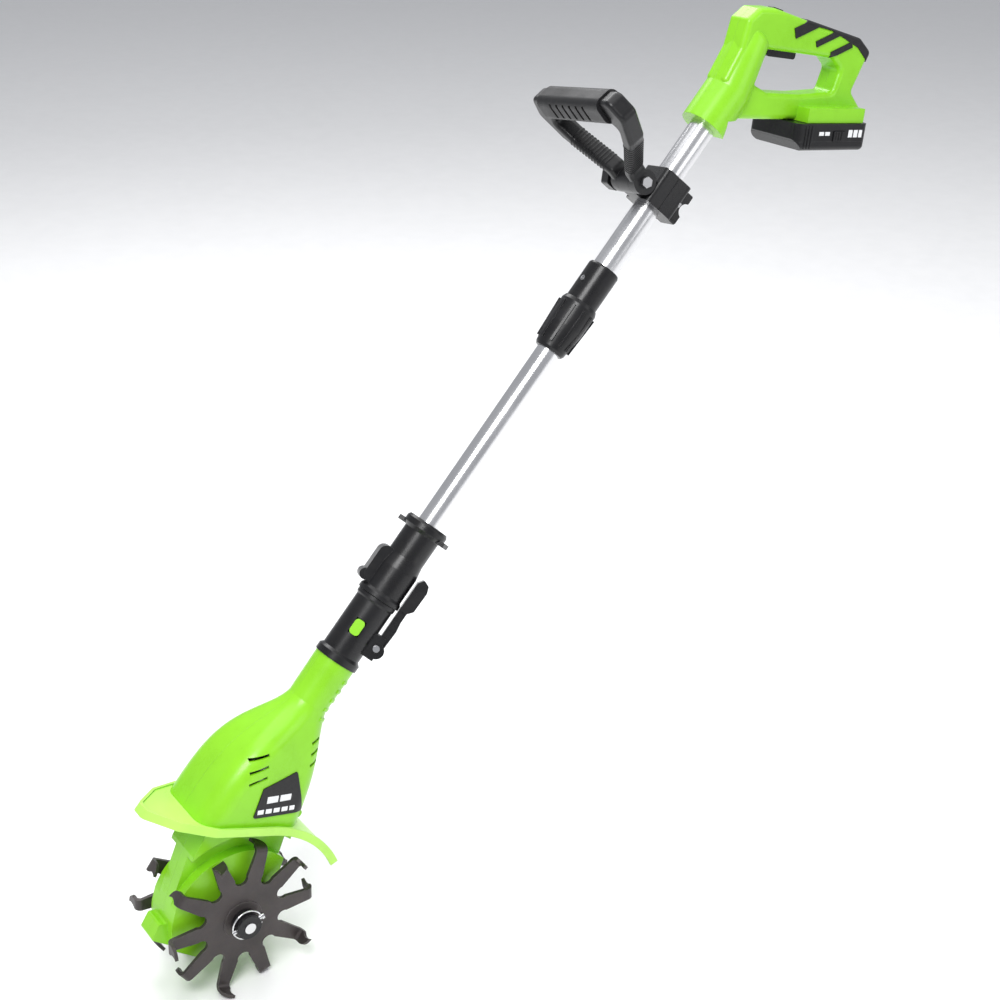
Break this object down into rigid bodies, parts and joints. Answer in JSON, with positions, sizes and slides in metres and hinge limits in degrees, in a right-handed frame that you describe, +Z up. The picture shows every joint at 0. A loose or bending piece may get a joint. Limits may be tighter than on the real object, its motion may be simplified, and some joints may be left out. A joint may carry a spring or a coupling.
{
  "type": "mini cultivator",
  "caption": "Battery hand cultivator: bent-tooth tine discs under a curved guard, a telescopic pole, a front loop handle and a D-shaped rear handle.",
  "frame": {"origin": "middle of the rear handle's grip bar, where the right hand holds it", "axes": "+Z up, +X from the head towards the user, +Y to the user's right; the pole leans 42 degrees from upright towards the user, as in use"},
  "size_m": [0.8957, 0.1744, 0.9398],
  "materials": {
    "green_shell": "satin moulded",
    "guard_green": "satin moulded",
    "green_button": "satin moulded",
    "black_plastic": "fine grained",
    "black_rubber": "matt",
    "seal_rubber": "matt",
    "tube_aluminium": "satin anodised",
    "gearbox_alloy": "as cast",
    "tine_steel": "dark, lightly scaled",
    "bright_steel": "polished",
    "screw_steel": "zinc plated",
    "motor_steel": "drawn",
    "wheel_brass": "machined",
    "magnet_ferrite": "sintered",
    "carbon": "matt",
    "cell_wrap": "shrink sleeve"
  },
  "bodies": {
    "handle": {"handle_shell_left": "green_shell", "handle_shell_right": "green_shell", "handle_grip": "black_rubber", "handle_screws": "screw_steel", "switch_block": "black_plastic", "terminal_block": "black_plastic", "trigger_spring": "screw_steel", "upper_tube": "tube_aluminium", "pole_collar": "black_plastic", "lock_collet": "black_plastic", "coiled_lead": "seal_rubber"},
    "trigger": {"trigger": "black_plastic"},
    "lock_off": {"lock_off_button": "black_plastic"},
    "battery": {"pack_case_top": "black_plastic", "pack_case_bottom": "black_plastic", "battery_cells": "cell_wrap"},
    "release_left": {"battery_release_left": "black_plastic"},
    "release_right": {"battery_release_right": "black_plastic"},
    "aux_clamp": {"clamp_front": "black_plastic", "clamp_rear": "black_plastic", "clamp_screws": "screw_steel", "pivot_bolt": "screw_steel"},
    "aux_loop": {"loop_frame": "black_plastic", "loop_grip": "black_rubber"},
    "aux_knob": {"pivot_knob": "black_plastic"},
    "lock_ring": {"lock_nut": "black_plastic"},
    "lower_pole": {"lower_tube": "tube_aluminium", "coupling_socket": "black_plastic", "lower_lead": "seal_rubber", "lead_plug": "black_plastic"},
    "head": {"coupling_sleeve": "black_plastic", "latch_pin": "bright_steel", "neck_insert": "black_plastic", "head_shell_left": "green_shell", "head_shell_right": "green_shell", "head_screws": "screw_steel", "guard": "guard_green", "guard_screws": "screw_steel", "badge": "black_plastic", "gear_housing_left": "gearbox_alloy", "gear_housing_right": "gearbox_alloy", "motor_can": "motor_steel", "motor_end_cap": "motor_steel", "motor_magnets": "magnet_ferrite", "motor_brushes": "carbon", "motor_bracket": "motor_steel", "ball_bearings": "bright_steel", "shaft_seals": "seal_rubber"},
    "latch": {"latch_lever": "black_plastic"},
    "detent": {"detent_button": "green_button"},
    "tines": {"output_shaft": "bright_steel", "worm_wheel": "wheel_brass", "tine_disc_left": "tine_steel", "tine_disc_right": "tine_steel", "hubs": "black_plastic", "lock_pins": "bright_steel"},
    "rotor": {"armature": "motor_steel", "worm": "motor_steel", "drive_coupler": "motor_steel", "cooling_fan": "black_plastic"}
  },
  "joints": [
    {"name": "trigger_pull", "type": "slide", "parent": "handle", "child": "trigger", "axis": [0.165, 0, 0.9863], "range_m": [0, 0.0055], "stiffness_N_per_m": 900, "springref_m": -0.004, "deforming": ["trigger_spring"]},
    {"name": "lock_off_press", "type": "slide", "parent": "handle", "child": "lock_off", "axis": [-0.294, 0, -0.9558], "range_m": [0, 0.0016], "stiffness_N_per_m": 800, "springref_m": -0.002},
    {"name": "battery_slide", "type": "slide", "parent": "handle", "child": "battery", "axis": [0.9954, 0, -0.0958], "range_m": [0, 0.1]},
    {"name": "release_left_press", "type": "slide", "parent": "battery", "child": "release_left", "axis": [0, 1, 0], "range_m": [0, 0.002], "stiffness_N_per_m": 800, "springref_m": -0.002},
    {"name": "release_right_press", "type": "slide", "parent": "battery", "child": "release_right", "axis": [0, -1, 0], "range_m": [0, 0.002], "stiffness_N_per_m": 800, "springref_m": -0.002},
    {"name": "aux_clamp_slide", "type": "slide", "parent": "handle", "child": "aux_clamp", "axis": [0.6691, 0, 0.7431], "range_m": [-0.06, 0.05]},
    {"name": "aux_loop_tilt", "type": "hinge", "parent": "aux_clamp", "child": "aux_loop", "pos_m": [-0.23952, 0.00697, -0.12074], "axis": [0.1672, 0.9744, -0.1505], "range_deg": [-55, 30]},
    {"name": "aux_knob_turn", "type": "hinge", "parent": "aux_clamp", "child": "aux_knob", "pos_m": [-0.23952, 0.00697, -0.12074], "axis": [0.1672, 0.9744, -0.1505], "continuous": true},
    {"name": "lock_ring_turn", "type": "hinge", "parent": "handle", "child": "lock_ring", "pos_m": [-0.32413, 0, -0.25986], "axis": [0.6691, 0, 0.7431], "range_deg": [0, 90]},
    {"name": "pole_slide", "type": "slide", "parent": "handle", "child": "lower_pole", "axis": [0.6691, 0, 0.7431], "range_m": [0, 0.19], "deforming": ["coiled_lead"]},
    {"name": "head_release", "type": "slide", "parent": "lower_pole", "child": "head", "axis": [-0.6691, 0, -0.7431], "range_m": [0, 0.05]},
    {"name": "latch_lift", "type": "hinge", "parent": "head", "child": "latch", "pos_m": [-0.56564, -0.01693, -0.56047], "axis": [0.4575, 0.788, -0.412], "range_deg": [0, 40], "stiffness_Nm_per_rad": 0.15, "springref_deg": -22.92},
    {"name": "detent_press", "type": "slide", "parent": "head", "child": "detent", "axis": [0.4973, 0.7431, -0.4477], "range_m": [0, 0.003], "stiffness_N_per_m": 800, "springref_m": -0.002},
    {"name": "tine_spin", "type": "hinge", "parent": "head", "child": "tines", "pos_m": [-0.73976, 0, -0.81411], "axis": [0, 1, 0], "continuous": true},
    {"name": "rotor_spin", "type": "hinge", "parent": "head", "child": "rotor", "pos_m": [-0.76712, 0, -0.79566], "axis": [0.5592, 0, 0.829], "continuous": true}
  ],
  "couplings": [
    {"joint": "rotor_spin", "follows": "tine_spin", "ratio": -25}
  ]
}
